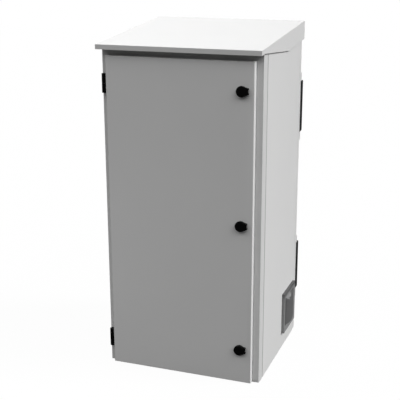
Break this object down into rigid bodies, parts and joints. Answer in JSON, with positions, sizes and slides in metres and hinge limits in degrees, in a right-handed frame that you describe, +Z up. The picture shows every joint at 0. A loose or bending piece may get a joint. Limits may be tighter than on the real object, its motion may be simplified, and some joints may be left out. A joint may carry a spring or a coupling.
{
  "type": "roadside utility cabinet",
  "caption": "Free-standing sheet-steel outdoor cabinet with a hinged front door, capped quarter-turn locks, sloping rain hood, rear vent hoods, side filter fan and inner mounting plate.",
  "frame": {"origin": "middle of the body's footprint on the ground, which is the middle of the ground bolt holes", "axes": "+Z up, -Y out of the front door, +X to the side with the fan"},
  "size_m": [0.6225, 0.612, 1.2778],
  "materials": {
    "body_paint": "satin powder coat, light grey",
    "black_metal": "satin black coat",
    "vent_black": "matt dark grey coat",
    "vent_plastic": "fine grained dark grey plastic",
    "fan_plastic": "moulded black plastic",
    "zinc_steel": "zinc plated",
    "brass": "plain brass",
    "foam_rubber": "closed-cell foam",
    "grommet_rubber": "moulded rubber",
    "filter_fleece": "loose filter fleece"
  },
  "bodies": {
    "cabinet": {"front_frame": "body_paint", "side_panel_left": "body_paint", "side_panel_right": "body_paint", "seam_seals": "foam_rubber", "seam_bolts": "zinc_steel", "top_panel": "body_paint", "base_tray": "body_paint", "cable_grommets": "grommet_rubber", "rear_cover": "body_paint", "rear_cover_screws": "zinc_steel", "upper_vent_hood": "vent_black", "lower_vent_hood": "vent_black", "upper_vent_rails": "body_paint", "lower_vent_rails": "body_paint", "vent_rail_screws": "zinc_steel", "upper_filter_mat": "filter_fleece", "lower_filter_mat": "filter_fleece", "upper_filter_cassette": "zinc_steel", "lower_filter_cassette": "zinc_steel", "roof_hood": "body_paint", "roof_bracket_front": "body_paint", "roof_bracket_rear": "body_paint", "roof_bolts": "zinc_steel", "side_vent_frame": "vent_plastic", "side_vent_louvre": "vent_plastic", "side_vent_mat": "filter_fleece", "fan_frame": "fan_plastic", "fan_guard": "zinc_steel", "fan_screws": "zinc_steel", "mounting_rail_upper": "zinc_steel", "mounting_rail_lower": "zinc_steel", "mounting_plate": "zinc_steel", "mounting_plate_bolts": "zinc_steel", "earth_stud": "brass", "hinge_frame_half_upper": "black_metal", "hinge_frame_half_lower": "black_metal", "hinge_pins": "zinc_steel", "hinge_frame_bolts": "zinc_steel"},
    "fan_rotor": {"fan_rotor": "fan_plastic"},
    "door": {"door_panel": "body_paint", "door_gasket": "foam_rubber", "door_stiffener_left": "body_paint", "door_stiffener_right": "body_paint", "hinge_door_half_upper": "black_metal", "hinge_door_half_lower": "black_metal", "hinge_door_bolts": "zinc_steel", "lock_housing_top": "black_metal", "lock_housing_middle": "black_metal", "lock_housing_bottom": "black_metal", "lock_nuts": "zinc_steel", "cap_pins": "zinc_steel"},
    "lock_top": {"lock_insert_top": "zinc_steel", "lock_cam_top": "zinc_steel"},
    "cap_top": {"lock_cap_top": "black_metal"},
    "lock_middle": {"lock_insert_middle": "zinc_steel", "lock_cam_middle": "zinc_steel"},
    "cap_middle": {"lock_cap_middle": "black_metal"},
    "lock_bottom": {"lock_insert_bottom": "zinc_steel", "lock_cam_bottom": "zinc_steel"},
    "cap_bottom": {"lock_cap_bottom": "black_metal"}
  },
  "joints": [
    {"name": "door_hinge", "type": "hinge", "parent": "cabinet", "child": "door", "pos_m": [-0.28785, -0.2612, 0.6], "axis": [0, 0, -1], "range_deg": [0, 130]},
    {"name": "fan_spin", "type": "hinge", "parent": "cabinet", "child": "fan_rotor", "pos_m": [0.28, 0.146, 0.147], "axis": [1, 0, 0], "continuous": true},
    {"name": "lock_turn_top", "type": "hinge", "parent": "door", "child": "lock_top", "pos_m": [0.2315, -0.2732, 1.088], "axis": [0, 1, 0], "range_deg": [0, 90]},
    {"name": "cap_hinge_top", "type": "hinge", "parent": "door", "child": "cap_top", "pos_m": [0.2531, -0.2836, 1.088], "axis": [0, 0, 1], "range_deg": [0, 110]},
    {"name": "lock_turn_middle", "type": "hinge", "parent": "door", "child": "lock_middle", "pos_m": [0.2315, -0.2732, 0.612], "axis": [0, 1, 0], "range_deg": [0, 90]},
    {"name": "cap_hinge_middle", "type": "hinge", "parent": "door", "child": "cap_middle", "pos_m": [0.2531, -0.2836, 0.612], "axis": [0, 0, 1], "range_deg": [0, 110]},
    {"name": "lock_turn_bottom", "type": "hinge", "parent": "door", "child": "lock_bottom", "pos_m": [0.2315, -0.2732, 0.136], "axis": [0, 1, 0], "range_deg": [0, 90]},
    {"name": "cap_hinge_bottom", "type": "hinge", "parent": "door", "child": "cap_bottom", "pos_m": [0.2531, -0.2836, 0.136], "axis": [0, 0, 1], "range_deg": [0, 110]}
  ]
}
